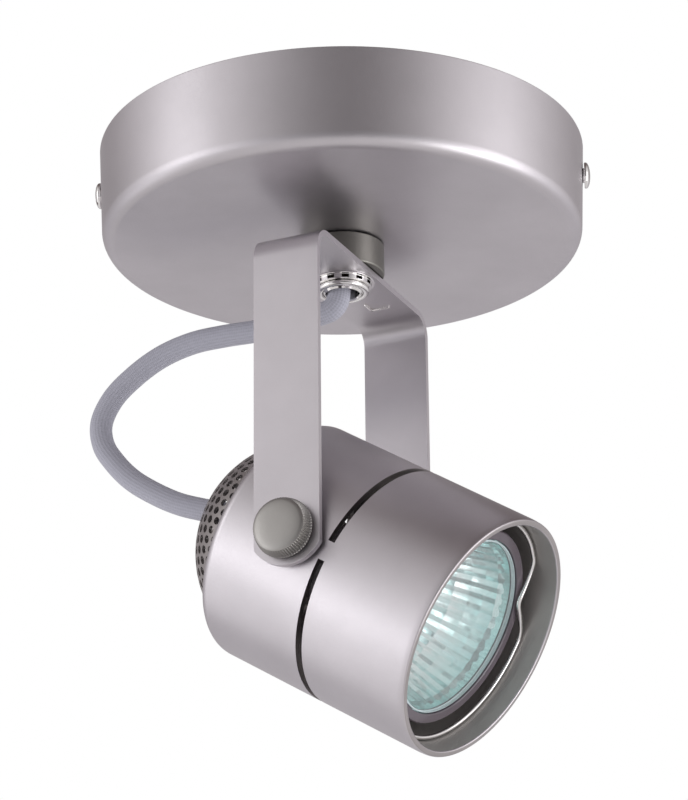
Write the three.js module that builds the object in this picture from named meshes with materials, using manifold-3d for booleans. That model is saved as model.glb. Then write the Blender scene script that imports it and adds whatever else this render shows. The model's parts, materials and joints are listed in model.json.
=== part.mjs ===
// Ceiling spotlight on a round canopy: a stirrup swivels under the canopy, a lamp barrel tilts in the
// stirrup between two thumb knobs, and a sleeved lead loops from the hollow swivel to the barrel's back.
// Millimetres. The origin is the centre of the canopy on the ceiling plane, +Z is up, +X is the side
// that the barrel faces, and the tilt axis runs along Y.
import * as THREE from 'three';
import { mergeVertices } from 'three/addons/utils/BufferGeometryUtils.js';
import Module from 'manifold-3d';

const wasm = await Module();
wasm.setup();

// canopy and its fixing bar
const CANOPY_RADIUS = 61.2;
const CANOPY_HEIGHT = 25.3;
const CANOPY_TAPER = 0.8;
const CANOPY_CORNER = 4.6;
const CANOPY_WALL = 1.2;
const CANOPY_TURN = 20.3;
const CANOPY_SCREW_DROP = 8.5;
const BAR_HALF = 58.4;
const BAR_WIDTH = 17;
const BAR_THICK = 1.6;
const TAB_DEPTH = 15;

// swivel stack under the canopy
const NIPPLE_RADIUS = 5;
const NIPPLE_BORE = 4.1;
const NIPPLE_TOP = -17.5;
const NIPPLE_END = -38.5;
const STUB_RADIUS = 10.5;

// stirrup
const PLATE_TOP = -33.8;
const STRAP = 1.5;
const STRAP_WIDTH = 17.2;
const ARM_OUT = 33.1;
const BEND_OUT = 6;
const PIVOT_Z = -111.5;

// barrel, measured along its own axis from the tilt axis
const TILT = 32.15;
const BARREL_RADIUS = 30.7;
const BARREL_BORE = 29;
const BARREL_FRONT = 42.5;
const BARREL_BACK = -20.8;
const VENT_AT = 10.4;
const VENT_WIDTH = 1.9;
const VENT_BRIDGE = 4.6;
const DOME_RADIUS = 28;
const DOME_CENTRE = -11.3;
const DOME_SHEET = 0.8;

// thumb knobs on the tilt axis
const KNOB_RADIUS = 7.4;
const KNOB_THICK = 3.9;
const STUD_RADIUS = 2;

// reflector lamp with a twist-lock base, and its socket
const LAMP_FACE = 35.2;
const LAMP_RADIUS = 25;
const LAMP_SEAT = -11.3;
const PIN_SPACING = 10;
const PIN_HEAD = 2.5;
const LOCK_TURN = 25;
const SOCKET_FRONT = LAMP_SEAT - 0.3;
const SOCKET_BACK = -24.8;
const SOCKET_RADIUS = 13.6;

// lamp retaining wire
const WIRE_RADIUS = 0.55;
const WIRE_RING = 28.1;
const WIRE_AT = 36.1;
const KINK_RADIUS = 22.8;
const KINK_HALF = 20.5;

// sleeved lead: centreline as [x, z] in the plane of the loop
const LEAD_RADIUS = 2.9;
const LEAD_ROUTE = [
  [-1.05, -30],
  [-1.05, -34.5],
  [-1.1, -38.3],
  [-1.66, -40.4],
  [-3.2, -41.94],
  [-5.3, -42.5],
  [-8.2, -42.8],
  [-12, -43.3],
  [-16, -43.8],
  [-20.5, -44],
  [-25, -43.9],
  [-33.5, -43.6],
  [-42.2, -43.9],
  [-50.9, -46],
  [-58.6, -50],
  [-64.9, -55.2],
  [-68.1, -61.4],
  [-67.4, -67.4],
  [-64, -72.8],
  [-59.1, -78.1],
  [-52.8, -82.7],
  [-45.8, -86.7],
  [-38.9, -89.4],
  [-33.2, -91.25],
  [-29.2, -93.4],
  [-26.6, -94.9],
];

const GAP = 0.3;
const UP = new THREE.Vector3(0, 0, 1);

const satin = new THREE.Color(0.64, 0.62, 0.61);
const bronze = new THREE.Color(0.5, 0.49, 0.46);
const bright = new THREE.Color(0.82, 0.81, 0.8);
const group = new THREE.Group();

function metal(color, roughness) {
  return new THREE.MeshStandardMaterial({ color, roughness, metalness: 0.9 });
}

function plain(color, roughness, extra = {}) {
  return new THREE.MeshStandardMaterial({ color, roughness, metalness: 0, ...extra });
}

function signedVolume(geometry) {
  const p = geometry.attributes.position;
  const index = geometry.index ? geometry.index.array : [...Array(p.count).keys()];
  const a = new THREE.Vector3();
  const b = new THREE.Vector3();
  const c = new THREE.Vector3();
  let sum = 0;
  for (let i = 0; i < index.length; i += 3) {
    a.fromBufferAttribute(p, index[i]);
    b.fromBufferAttribute(p, index[i + 1]);
    c.fromBufferAttribute(p, index[i + 2]);
    sum += a.dot(b.cross(c));
  }
  return sum / 6;
}

// one closed mesh with shared corners, no collapsed triangles, and its faces pointing out
function closed(source) {
  const bare = source.clone();
  bare.deleteAttribute('normal');
  if (bare.attributes.uv) bare.deleteAttribute('uv');
  const geometry = mergeVertices(bare, 1e-4);
  const kept = [];
  const index = geometry.index.array;
  const flip = signedVolume(geometry) < 0;
  for (let i = 0; i < index.length; i += 3) {
    const [a, b, c] = [index[i], index[i + 1], index[i + 2]];
    if (a === b || b === c || c === a) continue;
    if (flip) kept.push(a, c, b);
    else kept.push(a, b, c);
  }
  geometry.setIndex(kept);
  geometry.computeVertexNormals();
  return geometry;
}

function toSolid(source) {
  const geometry = closed(source);
  return new wasm.Manifold(new wasm.Mesh({
    numProp: 3,
    vertProperties: new Float32Array(geometry.attributes.position.array),
    triVerts: new Uint32Array(geometry.index.array),
  }));
}

function toGeometry(solid) {
  const mesh = solid.getMesh();
  const geometry = new THREE.BufferGeometry();
  geometry.setAttribute('position', new THREE.BufferAttribute(mesh.vertProperties.slice(), 3));
  geometry.setIndex(new THREE.BufferAttribute(mesh.triVerts.slice(), 1));
  geometry.computeVertexNormals();
  return geometry;
}

function cut(base, ...tools) {
  return toGeometry(tools.reduce((rest, tool) => rest.subtract(toSolid(tool)), toSolid(base)));
}

function join(base, ...others) {
  return toGeometry(others.reduce((sum, other) => sum.add(toSolid(other)), toSolid(base)));
}

// body of revolution: rows are [radius, distance along the axis]
function turned(rows, axis, segments) {
  const profile = rows.map(([r, t]) => new THREE.Vector2(r, t));
  const geometry = new THREE.LatheGeometry(profile, segments);
  if (axis === 'z') geometry.rotateX(Math.PI / 2);
  if (axis === 'x') geometry.rotateZ(-Math.PI / 2);
  return closed(geometry);
}

// ring or sleeve of revolution
function sleeve(inner, outer, from, to, axis, segments) {
  return turned([[inner, from], [outer, from], [outer, to], [inner, to], [inner, from]], axis, segments);
}

// solid cylinder along an axis
function rod(radius, from, to, axis, segments = 20) {
  return turned([[0, from], [radius, from], [radius, to], [0, to]], axis, segments);
}

function block(x0, x1, y0, y1, z0, z1) {
  const geometry = new THREE.BoxGeometry(x1 - x0, y1 - y0, z1 - z0);
  return geometry.translate((x0 + x1) / 2, (y0 + y1) / 2, (z0 + z1) / 2);
}

// rows of an arc, as [radius, distance] or [u, v] pairs
function arc(cx, cy, r, fromDeg, toDeg, steps) {
  return Array.from({ length: steps + 1 }, (_, i) => {
    const angle = THREE.MathUtils.degToRad(fromDeg + ((toDeg - fromDeg) * i) / steps);
    return [cx + r * Math.cos(angle), cy + r * Math.sin(angle)];
  });
}

function outline(points) {
  return new THREE.Shape(points.map(([u, v]) => new THREE.Vector2(u, v)));
}

function tube(points, radius, sides, steps) {
  const section = new THREE.Shape(arc(0, 0, radius, 0, 360 - 360 / sides, sides - 1)
    .map(([u, v]) => new THREE.Vector2(u, v)));
  const extrudePath = new THREE.CatmullRomCurve3(points, false, 'centripetal');
  return closed(new THREE.ExtrudeGeometry(section, { steps, extrudePath, curveSegments: 1 }));
}

function add(parent, name, geometry, material) {
  const mesh = new THREE.Mesh(closed(geometry), material);
  mesh.name = name;
  parent.add(mesh);
  return mesh;
}

// ---- canopy group: cup, fixing bar and the screws that hold them together
const canopyGroup = new THREE.Group();
canopyGroup.rotation.z = THREE.MathUtils.degToRad(CANOPY_TURN);
group.add(canopyGroup);

const lowRadius = CANOPY_RADIUS - CANOPY_TAPER;
const innerCorner = CANOPY_CORNER - CANOPY_WALL;
const cup = turned([
  [NIPPLE_RADIUS + GAP, -CANOPY_HEIGHT],
  ...arc(lowRadius - CANOPY_CORNER, -CANOPY_HEIGHT + CANOPY_CORNER, CANOPY_CORNER, -90, 0, 5),
  [CANOPY_RADIUS, 0],
  [CANOPY_RADIUS - CANOPY_WALL, 0],
  ...arc(lowRadius - CANOPY_CORNER, -CANOPY_HEIGHT + CANOPY_CORNER, innerCorner, 0, -90, 4),
  [NIPPLE_RADIUS + GAP, -CANOPY_HEIGHT + CANOPY_WALL],
  [NIPPLE_RADIUS + GAP, -CANOPY_HEIGHT],
], 'z', 60);
const sideHoles = [1, -1].map((side) => rod(2.4, side * 55, side * 63, 'x', 16)
  .translate(0, 0, -CANOPY_SCREW_DROP));
add(canopyGroup, 'canopy', cut(cup, ...sideHoles), metal(satin, 0.42));

// flat bar against the ceiling with two tabs turned down inside the canopy wall
const barProfile = outline([
  [-BAR_HALF, -TAB_DEPTH],
  [-BAR_HALF + BAR_THICK, -TAB_DEPTH],
  ...arc(-BAR_HALF + BAR_THICK + 1.2, -BAR_THICK - 1.2, 1.2, 180, 90, 3),
  ...arc(BAR_HALF - BAR_THICK - 1.2, -BAR_THICK - 1.2, 1.2, 90, 0, 3),
  [BAR_HALF - BAR_THICK, -TAB_DEPTH],
  [BAR_HALF, -TAB_DEPTH],
  ...arc(BAR_HALF - 2.8, -2.8, 2.8, 0, 90, 4),
  ...arc(-BAR_HALF + 2.8, -2.8, 2.8, 90, 180, 4),
]);
const barBlank = new THREE.ExtrudeGeometry(barProfile, { depth: BAR_WIDTH, bevelEnabled: false });
barBlank.rotateX(Math.PI / 2).translate(0, BAR_WIDTH / 2, 0);
function slot(x0, x1, y, half) {
  const shape = outline([...arc(x1, y, half, -90, 90, 6), ...arc(x0, y, half, 90, 270, 6)]);
  return new THREE.ExtrudeGeometry(shape, { depth: 6, bevelEnabled: false }).translate(0, 0, -4);
}
add(canopyGroup, 'mounting_bar', cut(
  barBlank,
  slot(29, 47, 0, 2.4),
  slot(-47, -29, 0, 2.4),
  rod(7.5, -4, 2, 'z', 24),
  rod(2.3, -20, -8, 'z', 12).translate(18, 0, 12),
  ...[1, -1].map((side) => rod(2.2, side * 50, side * 60, 'x', 16).translate(0, 0, -CANOPY_SCREW_DROP)),
), metal(new THREE.Color(0.7, 0.7, 0.72), 0.5));

// round-head screws through the canopy wall into the tabs
function roundHeadScrew(headRadius, headHeight, shankRadius, shankLength) {
  const body = turned([
    [0, -shankLength],
    [shankRadius - 0.4, -shankLength],
    [shankRadius, -shankLength + 0.6],
    [shankRadius, 0],
    [headRadius, 0],
    [headRadius, headHeight * 0.3],
    [headRadius * 0.86, headHeight * 0.68],
    [headRadius * 0.55, headHeight * 0.93],
    [0, headHeight],
  ], 'x', 16);
  return cut(body, block(headHeight * 0.45, headHeight + 1, -headRadius - 1, headRadius + 1, -0.45, 0.45));
}
for (const [name, side] of [['canopy_screw_right', 1], ['canopy_screw_left', -1]]) {
  const screw = add(canopyGroup, name, roundHeadScrew(3.4, 2.3, 1.9, 9), metal(bright, 0.15));
  screw.position.set(side * (CANOPY_RADIUS + 0.1), 0, -CANOPY_SCREW_DROP);
  screw.rotation.set(0.5, 0, side > 0 ? 0 : Math.PI);
}
const groundScrew = add(canopyGroup, 'ground_screw', roundHeadScrew(3.6, 2, 2, 1.8), metal(new THREE.Color(0.15, 0.45, 0.25), 0.4));
groundScrew.position.set(18, 0, -BAR_THICK - GAP);
groundScrew.rotation.set(0, Math.PI / 2, 0);

// ---- swivel stack on the vertical axis
const floorTop = -CANOPY_HEIGHT + CANOPY_WALL;
add(group, 'threaded_nipple', sleeve(NIPPLE_BORE, NIPPLE_RADIUS, NIPPLE_END, NIPPLE_TOP, 'z', 24), metal(bright, 0.25));
add(group, 'inner_lock_washer', sleeve(5.4, 8.4, floorTop + GAP, floorTop + 1.1, 'z', 24), metal(bright, 0.35));
const hexagon = new THREE.CylinderGeometry(8.1, 8.1, 3, 6).rotateX(Math.PI / 2).translate(0, 0, floorTop + 2.9);
add(group, 'inner_locknut', cut(hexagon, rod(5.3, -30, -10, 'z', 32)), metal(bright, 0.35));
add(group, 'swivel_stub', turned([
  [5.4, PLATE_TOP + GAP],
  [STUB_RADIUS - 0.3, PLATE_TOP + GAP],
  [STUB_RADIUS, PLATE_TOP + GAP + 0.3],
  [STUB_RADIUS, -CANOPY_HEIGHT - GAP - 0.3],
  [STUB_RADIUS - 0.3, -CANOPY_HEIGHT - GAP],
  [5.4, -CANOPY_HEIGHT - GAP],
  [5.4, PLATE_TOP + GAP],
], 'z', 32), metal(bronze, 0.45));

// internal-tooth lock washer and round nut under the stirrup's plate
const washerTop = PLATE_TOP - STRAP - GAP;
const toothGaps = Array.from({ length: 12 }, (_, i) => block(6.2, 9, -0.9, 0.9, washerTop - 0.95, washerTop - 0.35)
  .rotateZ((i * Math.PI) / 6));
add(group, 'tooth_lock_washer', cut(turned([
  [5.3, washerTop - 1.25],
  [7.2, washerTop - 1.25],
  [7.4, washerTop - 0.3],
  [8, washerTop - 0.3],
  [8, washerTop],
  [5.3, washerTop],
  [5.3, washerTop - 1.25],
], 'z', 36), ...toothGaps), metal(bright, 0.2));
add(group, 'ring_nut', turned([
  [5.3, washerTop - 2.7],
  [5.9, washerTop - 2.7],
  [6.4, washerTop - 2.5],
  [6.7, washerTop - 2.1],
  [6.6, washerTop - 1.7],
  [6.2, washerTop - 1.5],
  [5.3, washerTop - 1.5],
  [5.3, washerTop - 2.7],
], 'z', 28), metal(bright, 0.12));

// ---- stirrup: one strap bent into a U, with round arm ends
const armIn = ARM_OUT - STRAP;
const bendIn = BEND_OUT - STRAP;
const uProfile = outline([
  [-ARM_OUT, PIVOT_Z - 12],
  [-armIn, PIVOT_Z - 12],
  ...arc(-ARM_OUT + BEND_OUT, PLATE_TOP - BEND_OUT, bendIn, 180, 90, 6),
  ...arc(ARM_OUT - BEND_OUT, PLATE_TOP - BEND_OUT, bendIn, 90, 0, 6),
  [armIn, PIVOT_Z - 12],
  [ARM_OUT, PIVOT_Z - 12],
  ...arc(ARM_OUT - BEND_OUT, PLATE_TOP - BEND_OUT, BEND_OUT, 0, 90, 6),
  ...arc(-ARM_OUT + BEND_OUT, PLATE_TOP - BEND_OUT, BEND_OUT, 90, 180, 6),
]);
const strap = new THREE.ExtrudeGeometry(uProfile, { depth: STRAP_WIDTH, bevelEnabled: false });
strap.rotateX(Math.PI / 2).rotateZ(Math.PI / 2).translate(-STRAP_WIDTH / 2, 0, 0);
const half = STRAP_WIDTH / 2;
const sideShape = outline([[half, PLATE_TOP + 1], [-half, PLATE_TOP + 1], ...arc(0, PIVOT_Z - 0.2, half, 180, 360, 16)]);
const sideBlank = new THREE.ExtrudeGeometry(sideShape, { depth: 80, bevelEnabled: false });
sideBlank.rotateX(Math.PI / 2).translate(0, 40, 0);
const trimmed = toGeometry(toSolid(strap).intersect(toSolid(sideBlank)));
const plateLow = PLATE_TOP - STRAP;
const yoke = join(
  cut(
    trimmed,
    rod(5.35, PLATE_TOP - 4, PLATE_TOP + 2, 'z', 32),
    rod(2.4, -40, 40, 'y', 20).translate(0, 0, PIVOT_Z),
  ),
  block(-0.9, -0.1, 14.6, 19, plateLow - 0.5, plateLow + 0.2),
  block(-0.9, 4.4, 18.2, 19, plateLow - 0.5, plateLow + 0.2),
);
add(group, 'yoke', yoke, metal(satin, 0.38));

// ---- head: everything that tilts, built about its own axis along +X
const head = new THREE.Group();
head.position.set(0, 0, PIVOT_Z);
head.rotation.y = THREE.MathUtils.degToRad(TILT);
group.add(head);

const mouth = BARREL_FRONT;
const back = BARREL_BACK;
const can = turned([
  [27.2, back],
  ...arc(BARREL_RADIUS - 2.7, back + 2.7, 2.7, -90, 0, 4),
  [BARREL_RADIUS, mouth - 2.6],
  [BARREL_RADIUS - 0.35, mouth - 1.1],
  [BARREL_RADIUS - 0.9, mouth - 0.2],
  [BARREL_RADIUS - 1.3, mouth],
  [BARREL_BORE, mouth - 0.4],
  ...arc(BARREL_BORE - 0.6, back + 2.1, 0.6, 0, -90, 2),
  [27.2, back + 1.5],
  [27.2, back],
], 'x', 56);

// the two vent slots: half-ring cuts that stop short of the tilt axis on each side
function ventCutter(middleDeg) {
  const reach = 90 - VENT_BRIDGE;
  const sector = outline([
    ...arc(0, 0, 34, middleDeg - reach, middleDeg + reach, 12),
    ...arc(0, 0, 25, middleDeg + reach, middleDeg - reach, 12),
  ]);
  const geometry = new THREE.ExtrudeGeometry(sector, { depth: VENT_WIDTH, bevelEnabled: false });
  return geometry.rotateX(Math.PI / 2).rotateZ(Math.PI / 2).translate(VENT_AT - VENT_WIDTH / 2, 0, 0);
}
add(head, 'barrel', cut(can, ventCutter(90), ventCutter(-90), rod(2.4, -34, 34, 'y', 20)), metal(satin, 0.4));

// domed back cover, held by its flange behind the barrel's rear lip; it is finely perforated
const domeInner = DOME_RADIUS - DOME_SHEET;
const seat = back + 1.8;
const baseAngle = (radius) => THREE.MathUtils.radToDeg(Math.acos((DOME_CENTRE - seat) / radius));
const holeAngle = (radius) => THREE.MathUtils.radToDeg(Math.asin((LEAD_RADIUS + 0.95) / radius));
const shell = (radius, from, to, steps) => arc(0, 0, radius, from, to, steps)
  .map(([along, out]) => [out, DOME_CENTRE - along]);
add(head, 'rear_grille', turned([
  ...shell(DOME_RADIUS, holeAngle(DOME_RADIUS), baseAngle(DOME_RADIUS), 7),
  [28.3, seat],
  [28.3, seat + DOME_SHEET],
  [26.2, seat + DOME_SHEET],
  ...shell(domeInner, baseAngle(domeInner), holeAngle(domeInner), 7),
  shell(DOME_RADIUS, holeAngle(DOME_RADIUS), 90, 1)[0],
], 'x', 40), metal(new THREE.Color(0.5, 0.48, 0.47), 0.5));

// inner bracket: ears on the tilt axis that take the knob studs, and a bridge behind the socket
const earOut = 28;
const bridge = SOCKET_BACK - GAP;
const bracketProfile = outline([
  [7, earOut], [-14, earOut], [bridge - 1.2, 19.6], [bridge - 1.2, -19.6], [-14, -earOut], [7, -earOut],
  [7, -earOut + 1.2], [-13.6, -earOut + 1.2], [bridge, -18.9], [bridge, 18.9], [-13.6, earOut - 1.2],
  [7, earOut - 1.2],
]);
const bracketBlank = new THREE.ExtrudeGeometry(bracketProfile, { depth: 11, bevelEnabled: false }).translate(0, 0, -5.5);
add(head, 'socket_bracket', cut(
  bracketBlank,
  rod(2.3, -32, 32, 'y', 20),
  ...[1, -1].map((side) => rod(1.8, bridge - 3, bridge + 2, 'x', 14).translate(0, side * 8.5, 0)),
), metal(new THREE.Color(0.68, 0.68, 0.68), 0.5));

// ceramic socket with two curved slots for the lamp's pins
function pinSlot(turnDeg) {
  const ring = PIN_SPACING / 2;
  const side = PIN_HEAD + 0.35;
  const rad = (deg) => THREE.MathUtils.degToRad(deg);
  const at = (deg) => [ring * Math.cos(rad(deg)), ring * Math.sin(rad(deg))];
  const end = turnDeg + LOCK_TURN + 3;
  const kidney = outline([
    ...arc(0, 0, ring + side, turnDeg, end, 4),
    ...arc(...at(end), side, end, end + 180, 6).slice(1),
    ...arc(0, 0, ring - side, end, turnDeg, 3).slice(1),
    ...arc(...at(turnDeg), side, turnDeg + 180, turnDeg + 360, 6).slice(1, -1),
  ]);
  const geometry = new THREE.ExtrudeGeometry(kidney, { depth: 9, bevelEnabled: false });
  return geometry.rotateX(Math.PI / 2).rotateZ(Math.PI / 2).translate(SOCKET_FRONT - 7.4, 0, 0);
}
add(head, 'lamp_socket', cut(
  turned([
    [0, SOCKET_BACK],
    [SOCKET_RADIUS - 0.8, SOCKET_BACK],
    [SOCKET_RADIUS, SOCKET_BACK + 0.8],
    [SOCKET_RADIUS, SOCKET_FRONT - 0.8],
    [SOCKET_RADIUS - 0.8, SOCKET_FRONT],
    [0, SOCKET_FRONT],
  ], 'x', 36),
  pinSlot(0),
  pinSlot(180),
  ...[1, -1].map((side) => rod(1.75, SOCKET_BACK - 1, SOCKET_BACK + 4.4, 'x', 14).translate(0, side * 8.5, 0)),
), plain(new THREE.Color(0.93, 0.92, 0.88), 0.6));
for (const [name, side] of [['socket_screw_1', 1], ['socket_screw_2', -1]]) {
  const screw = add(head, name, roundHeadScrew(2.6, 1.7, 1.4, 5), metal(bright, 0.3));
  screw.position.set(bridge - 1.2 - GAP, side * 8.5, 0);
  screw.rotation.z = Math.PI;
}
// insulated tails from the end of the lead's sleeve to the socket's back
for (const [name, side] of [['socket_wire_1', 1], ['socket_wire_2', -1]]) {
  add(head, name, tube([
    new THREE.Vector3(-30.8, 0, side * 1.4),
    new THREE.Vector3(-30.2, 0, side * 1.5),
    new THREE.Vector3(-29.1, 0, side * 2.9),
    new THREE.Vector3(-27.6, 0, side * 6.2),
    new THREE.Vector3(-26.5, 0, side * 8.7),
    new THREE.Vector3(-25.9, 0, side * 9.1),
    new THREE.Vector3(-25.2, 0, side * 9.2),
  ], 0.95, 8, 8), plain(new THREE.Color(0.85, 0.84, 0.8), 0.7));
}

// washers between the arms and the barrel
for (const [name, side] of [['spacer_washer_near', -1], ['spacer_washer_far', 1]]) {
  const from = side > 0 ? BARREL_RADIUS + 0.25 : -armIn + GAP;
  const to = side > 0 ? armIn - GAP : -BARREL_RADIUS - 0.25;
  add(head, name, sleeve(2.4, 6, from, to, 'y', 28), plain(new THREE.Color(0.2, 0.2, 0.2), 0.6));
}

// thumb knobs: a domed cap on a threaded stud that screws into the bracket's ear
function knobGroup(side) {
  const knob = new THREE.Group();
  knob.rotation.z = side > 0 ? 0 : Math.PI;
  head.add(knob);
  const label = side > 0 ? 'far' : 'near';
  const base = ARM_OUT + 0.8;
  const top = base + KNOB_THICK;
  add(knob, `knob_${label}`, cut(turned([
    [0, base],
    [KNOB_RADIUS - 0.5, base],
    [KNOB_RADIUS, base + 0.4],
    [KNOB_RADIUS, top - 1.5],
    [KNOB_RADIUS - 0.35, top - 0.75],
    [KNOB_RADIUS - 1.1, top - 0.25],
    [KNOB_RADIUS - 2.4, top - 0.05],
    [0, top + 0.15],
  ], 'y', 32), rod(STUD_RADIUS + GAP, base - 1, base + 2.3, 'y', 20)), metal(bronze, 0.5));
  add(knob, `knob_stud_${label}`, rod(STUD_RADIUS, 24.6, base + 2, 'y', 20), metal(bright, 0.3));
  add(knob, `knob_washer_${label}`, sleeve(2.4, 4.6, ARM_OUT + 0.2, base - 0.2, 'y', 24), metal(bright, 0.3));
}
knobGroup(-1);
knobGroup(1);

// ---- reflector lamp: glass bowl, cover glass, capsule, ceramic base and two headed pins
const bowlOuter = [[10.4, -4.5], [10.6, -1], [12.4, 3], [15.4, 9], [18.3, 15.5], [20.8, 22], [22.6, 28], [23.2, 31.2],
  [LAMP_RADIUS, 32.4], [LAMP_RADIUS, LAMP_FACE]];
const bowlInner = [[22.6, LAMP_FACE], [22.6, LAMP_FACE - 1.7], [21.9, LAMP_FACE - 1.8], [20.6, 27], [18.6, 21],
  [15.9, 14.8], [12.9, 9], [9.6, 4.6], [6.4, 2.6], [6.4, -4.5], [10.4, -4.5]];
add(head, 'lamp_reflector', turned([...bowlOuter, ...bowlInner], 'x', 36), plain(new THREE.Color(0.72, 0.86, 0.86), 0.12));
add(head, 'lamp_cover_glass', rod(22.3, LAMP_FACE - 1.4, LAMP_FACE - 0.3, 'x', 36),
  plain(new THREE.Color(0.85, 0.92, 0.92), 0.05, { transparent: true, opacity: 0.25 }));
add(head, 'lamp_capsule', turned([
  [0, -3],
  [3.6, -3],
  [4.4, 0],
  [4.6, 8],
  [4.5, 15],
  [3.4, 17.4],
  [1.4, 18.8],
  [0, 19.4],
], 'x', 24), plain(new THREE.Color(0.9, 0.93, 0.93), 0.05, { transparent: true, opacity: 0.4 }));
add(head, 'lamp_base', turned([
  [0, LAMP_SEAT],
  [9.2, LAMP_SEAT],
  [9.8, LAMP_SEAT + 0.7],
  [10.2, -4.8],
  [0, -4.8],
], 'x', 36), plain(new THREE.Color(0.9, 0.89, 0.85), 0.6));
for (const [name, side] of [['lamp_pin_1', 1], ['lamp_pin_2', -1]]) {
  add(head, name, turned([
    [0, LAMP_SEAT - 7],
    [PIN_HEAD - 0.4, LAMP_SEAT - 7],
    [PIN_HEAD, LAMP_SEAT - 6.5],
    [PIN_HEAD, LAMP_SEAT - 4.2],
    [1.5, LAMP_SEAT - 3.9],
    [1.5, LAMP_SEAT - GAP],
    [0, LAMP_SEAT - GAP],
  ], 'x', 20).translate(0, (side * PIN_SPACING) / 2, 0), metal(bright, 0.3));
}

// ---- sprung wire ring in the mouth, with two inward kinks that hold the lamp's rim
const kinkAt = [35, 215];
const gapAt = 145;
const wirePoints = [];
function onRing(radius, deg) {
  const angle = THREE.MathUtils.degToRad(deg);
  return new THREE.Vector3(WIRE_AT, radius * Math.cos(angle), radius * Math.sin(angle));
}
for (let deg = gapAt + 5; deg <= gapAt + 355; deg += 10) {
  const near = kinkAt.map((k) => Math.abs(((deg - k + 540) % 360) - 180));
  if (Math.min(...near) > KINK_HALF + 2) wirePoints.push([deg, onRing(WIRE_RING, deg)]);
}
for (const k of kinkAt) {
  const middle = k < gapAt ? k + 360 : k;
  for (const [offset, radius] of [
    [-KINK_HALF - 2, WIRE_RING],
    [-KINK_HALF + 1.5, WIRE_RING - 0.6],
    [-KINK_HALF / 2, (WIRE_RING + KINK_RADIUS) / 2 - 0.5],
    [-1.6, KINK_RADIUS + 0.15],
    [1.6, KINK_RADIUS + 0.15],
    [KINK_HALF / 2, (WIRE_RING + KINK_RADIUS) / 2 - 0.5],
    [KINK_HALF - 1.5, WIRE_RING - 0.6],
    [KINK_HALF + 2, WIRE_RING],
  ]) {
    wirePoints.push([middle + offset, onRing(radius, middle + offset)]);
  }
}
wirePoints.sort((p, q) => p[0] - q[0]);
add(head, 'retaining_wire', tube(wirePoints.map(([, point]) => point), WIRE_RADIUS, 6, 80), metal(bright, 0.12));

// ---- sleeved lead from the nipple's bore, round behind the stirrup, into the back cover
const route = LEAD_ROUTE.map(([x, z]) => new THREE.Vector3(x, 0, z));
add(group, 'lamp_lead', tube(route, LEAD_RADIUS, 10, 40), plain(new THREE.Color(0.56, 0.57, 0.6), 0.85));

group.up.copy(UP);

export default group;
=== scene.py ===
import json
import math
import random
import bmesh
import bpy
from mathutils import Matrix, Vector


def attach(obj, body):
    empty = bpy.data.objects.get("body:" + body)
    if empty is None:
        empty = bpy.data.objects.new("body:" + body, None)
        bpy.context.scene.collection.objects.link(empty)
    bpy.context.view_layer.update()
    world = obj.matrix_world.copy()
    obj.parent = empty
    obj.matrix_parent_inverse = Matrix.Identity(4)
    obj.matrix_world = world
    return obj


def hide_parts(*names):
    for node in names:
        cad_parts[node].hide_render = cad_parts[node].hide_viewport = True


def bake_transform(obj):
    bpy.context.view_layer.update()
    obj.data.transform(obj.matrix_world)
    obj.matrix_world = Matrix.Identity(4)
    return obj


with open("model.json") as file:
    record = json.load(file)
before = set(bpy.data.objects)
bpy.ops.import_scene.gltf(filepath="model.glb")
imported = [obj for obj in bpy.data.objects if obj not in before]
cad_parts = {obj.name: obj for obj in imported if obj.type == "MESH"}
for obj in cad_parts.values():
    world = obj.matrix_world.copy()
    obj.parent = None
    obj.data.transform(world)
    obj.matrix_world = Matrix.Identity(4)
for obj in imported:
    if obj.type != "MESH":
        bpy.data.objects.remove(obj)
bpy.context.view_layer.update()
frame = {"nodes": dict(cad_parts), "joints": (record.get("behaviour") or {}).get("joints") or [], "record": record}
mm = 0.001
scene = bpy.context.scene
joints = {j["name"]: j for j in frame["joints"]}
mounts = {m["name"]: m for m in frame["record"]["mounts"]}

# where things sit: the head's own axes are x along the tilt axis, y up from the beam, z along the beam
pivot = Vector(joints["head_tilt"]["pos_m"])
across = Vector(joints["head_tilt"]["axis"]).normalized()
beam = Vector(joints["lamp_twist"]["axis"]).normalized()
headTurn = Matrix((across, beam.cross(across), beam)).transposed()
headPlace = Matrix.Translation(pivot) @ headTurn.to_4x4()
barSpot = Vector(mounts["fixing_bar_face"]["pos_m"])
canopyTurn = math.atan2(barSpot.y, barSpot.x)
canopyPlace = Matrix.Rotation(canopyTurn, 4, "Z")
still = Matrix.Identity(4)
nearSide = Matrix.Rotation(math.radians(90), 4, "X")
farSide = Matrix.Rotation(math.radians(-90), 4, "X")


# mesh helpers, all in millimetres until a piece is finished
def arcRow(centre, radius, start, stop, steps):
    row = []
    for i in range(steps + 1):
        angle = math.radians(start + (stop - start) * i / steps)
        row.append((centre[0] + radius * math.cos(angle), centre[1] + radius * math.sin(angle)))
    return row


def turned(profile, steps=96, loop=False):
    mesh = bmesh.new()
    row = [mesh.verts.new((r, 0, z)) for r, z in profile]
    pairs = list(zip(row, row[1:])) + ([(row[-1], row[0])] if loop else [])
    edges = [mesh.edges.new(pair) for pair in pairs]
    bmesh.ops.spin(mesh, geom=row + edges, cent=(0, 0, 0), axis=(0, 0, 1), dvec=(0, 0, 0),
                   angle=math.tau, steps=steps, use_merge=True, use_duplicate=False)
    bmesh.ops.remove_doubles(mesh, verts=mesh.verts, dist=1e-4)
    bmesh.ops.dissolve_degenerate(mesh, edges=mesh.edges, dist=1e-5)
    bmesh.ops.recalc_face_normals(mesh, faces=mesh.faces)
    return mesh


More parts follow.
